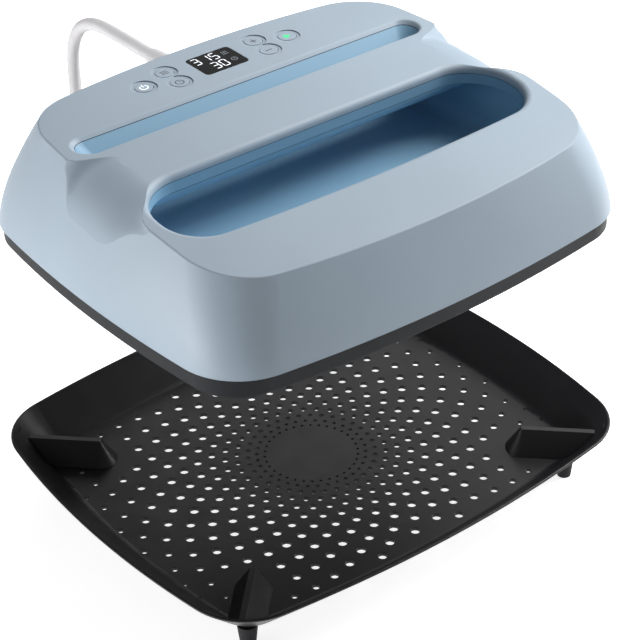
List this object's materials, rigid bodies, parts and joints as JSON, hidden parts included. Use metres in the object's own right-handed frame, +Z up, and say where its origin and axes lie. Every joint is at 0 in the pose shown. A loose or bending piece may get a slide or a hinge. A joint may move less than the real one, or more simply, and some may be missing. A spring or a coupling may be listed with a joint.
{
  "type": "handheld heat press",
  "caption": "Handheld craft heat press with a bridge handle, top controls and mains cord, lifted off its perforated safety base.",
  "frame": {"origin": "on the table under the middle of the safety base", "axes": "+Z up, front long side of the press towards -Y, control deck and cord towards +Y"},
  "size_m": [0.3827, 0.4362, 0.2787],
  "materials": {
    "shell_blue": "satin",
    "charcoal_plastic": "satin",
    "skirt_grey": "satin",
    "foot_grey": "matte",
    "screw_steel": "satin",
    "plate_metal": "non-stick coating",
    "element_steel": "satin",
    "post_steel": "satin",
    "insulation_white": "matte",
    "shield_metal": "bright",
    "frame_grey": "matte",
    "window_black": "gloss",
    "display_grey": "matte",
    "button_white": "satin, lit",
    "button_blue": "satin",
    "board_green": "satin",
    "component_black": "matte",
    "terminal_green": "satin",
    "cutout_steel": "satin",
    "transformer_core": "matte",
    "wire_red": "satin",
    "wire_blue": "satin",
    "ribbon_grey": "satin",
    "cord_grey": "satin",
    "blade_brass": "satin"
  },
  "bodies": {
    "base": {"base_tray": "charcoal_plastic", "dock_rear_right": "charcoal_plastic", "dock_rear_left": "charcoal_plastic", "dock_front_left": "charcoal_plastic", "dock_front_right": "charcoal_plastic", "foot_rear_right": "foot_grey", "foot_rear_left": "foot_grey", "foot_front_left": "foot_grey", "foot_front_right": "foot_grey", "foot_screws": "screw_steel", "cord_floor": "cord_grey", "cord_coil": "cord_grey", "plug_body": "cord_grey", "plug_blades": "blade_brass"},
    "press": {"board_screws": "screw_steel", "buzzer": "component_black", "clamp_screws": "screw_steel", "control_board": "board_green", "cord_clamp": "frame_grey", "cord_drop": "cord_grey", "cord_exit": "cord_grey", "display_module": "display_grey", "display_window": "window_black", "fuse": "component_black", "handle_grip": "shell_blue", "heat_plate": "plate_metal", "heat_shield": "shield_metal", "heater_leads": "wire_red", "heating_element": "element_steel", "inner_frame": "frame_grey", "insulation_pad": "insulation_white", "mains_leads": "wire_blue", "plate_screws": "screw_steel", "plate_spacers": "post_steel", "power_board": "board_green", "power_board_screws": "screw_steel", "recess_liner": "shell_blue", "relay": "component_black", "ribbon_cable": "ribbon_grey", "shell_screws": "screw_steel", "skirt_ring": "skirt_grey", "skirt_screws": "screw_steel", "strain_relief": "cord_grey", "tact_switches": "component_black", "temperature_sensor": "component_black", "terminal_block": "terminal_green", "thermal_cutout": "cutout_steel", "transformer": "transformer_core", "trim_screws": "screw_steel", "upper_shell": "shell_blue"},
    "button_power": {"button_power": "button_white"},
    "button_menu": {"button_menu": "button_blue"},
    "button_timer": {"button_timer": "button_blue"},
    "button_plus": {"button_plus": "button_blue"},
    "button_minus": {"button_minus": "button_blue"},
    "button_start": {"button_start": "button_blue"}
  },
  "joints": [
    {"name": "press_lift", "type": "slide", "parent": "base", "child": "press", "axis": [0, 0, 1], "range_m": [-0.158, 0], "deforming": ["cord_drop"]},
    {"name": "button_power_push", "type": "slide", "parent": "press", "child": "button_power", "axis": [0, 0, 1], "range_m": [-0.0006, 0], "stiffness_N_per_m": 400, "springref_m": 0.0005},
    {"name": "button_menu_push", "type": "slide", "parent": "press", "child": "button_menu", "axis": [0, 0, 1], "range_m": [-0.0006, 0], "stiffness_N_per_m": 400, "springref_m": 0.0005},
    {"name": "button_timer_push", "type": "slide", "parent": "press", "child": "button_timer", "axis": [0, 0, 1], "range_m": [-0.0006, 0], "stiffness_N_per_m": 400, "springref_m": 0.0005},
    {"name": "button_plus_push", "type": "slide", "parent": "press", "child": "button_plus", "axis": [0, 0, 1], "range_m": [-0.0006, 0], "stiffness_N_per_m": 400, "springref_m": 0.0005},
    {"name": "button_minus_push", "type": "slide", "parent": "press", "child": "button_minus", "axis": [0, 0, 1], "range_m": [-0.0006, 0], "stiffness_N_per_m": 400, "springref_m": 0.0005},
    {"name": "button_start_push", "type": "slide", "parent": "press", "child": "button_start", "axis": [0, 0, 1], "range_m": [-0.0006, 0], "stiffness_N_per_m": 400, "springref_m": 0.0005}
  ]
}
